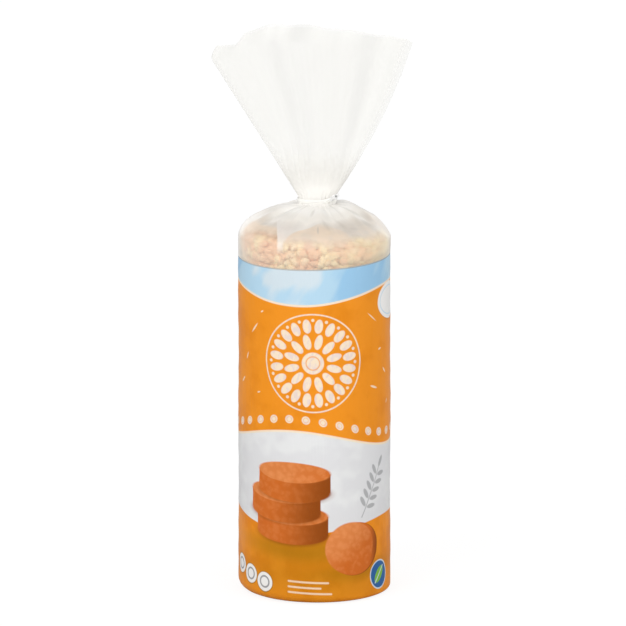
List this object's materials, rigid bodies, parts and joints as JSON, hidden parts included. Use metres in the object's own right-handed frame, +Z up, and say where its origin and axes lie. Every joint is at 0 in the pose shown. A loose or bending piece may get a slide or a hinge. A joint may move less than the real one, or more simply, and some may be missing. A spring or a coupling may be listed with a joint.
{
  "type": "bag of puffed rice cakes",
  "caption": "Tall sealed bag of round puffed rice cakes in a stack: printed film round the side, clear film above, gathered by a twist tie under an open flat fan.",
  "frame": {"origin": "centre of the flat base, on the axis of the stack of cakes", "axes": "+Z up along the stack; the broad side of the fan and the front of the label face -Y"},
  "size_m": [0.1289, 0.098, 0.37],
  "materials": {
    "printed_film": "thin glossy film printed in light blue, orange and pale grey",
    "clear_film": "thin clear film with a slight milky haze and soft folds",
    "rice_cake": "puffed rice grains, matt, with a thin brown sugar coat",
    "tie_ribbon": "white covered wire"
  },
  "bodies": {
    "root": {"bag": "printed_film", "twist_tie": "tie_ribbon"}
  },
  "joints": []
}
